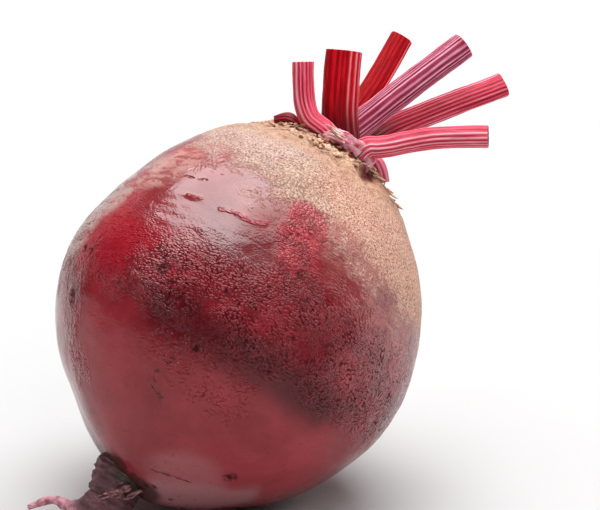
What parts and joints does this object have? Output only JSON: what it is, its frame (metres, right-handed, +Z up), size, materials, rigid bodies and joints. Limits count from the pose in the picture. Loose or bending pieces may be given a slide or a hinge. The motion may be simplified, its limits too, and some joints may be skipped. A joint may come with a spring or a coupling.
{
  "type": "beetroot",
  "caption": "Whole raw beetroot lying on its flank, with a corky crown, ribbed leaf stalks cut short, the stubs of older stalks and a taproot that thins to a tail.",
  "frame": {"origin": "centre of the flat rest spot on the flank, under the widest part of the beetroot", "axes": "+Z up, with the beetroot lying on its flank; its axis leans from +Z towards +X, so the crown and stalks point up and to +X and the taproot lies at -X"},
  "size_m": [0.1225, 0.0859, 0.1026],
  "materials": {
    "skin": "matt crimson beetroot skin, tan and corky at the crown",
    "stalk_red": "satin deep red leaf stalk with fine lengthwise ribs",
    "stalk_pink": "satin pink leaf stalk with pale lengthwise ribs",
    "stub": "dull dark red stub with pale fibres"
  },
  "bodies": {
    "root": {"beet_root": "skin", "leaf_stalk_front_left": "stalk_pink", "leaf_stalk_middle": "stalk_red", "leaf_stalk_back": "stalk_red", "leaf_stalk_upper_right": "stalk_pink", "leaf_stalk_right": "stalk_pink", "leaf_stalk_low_right": "stalk_pink", "stalk_stub_left": "stub", "stalk_stub_right": "stub", "stalk_stub_back": "stub"}
  },
  "joints": []
}
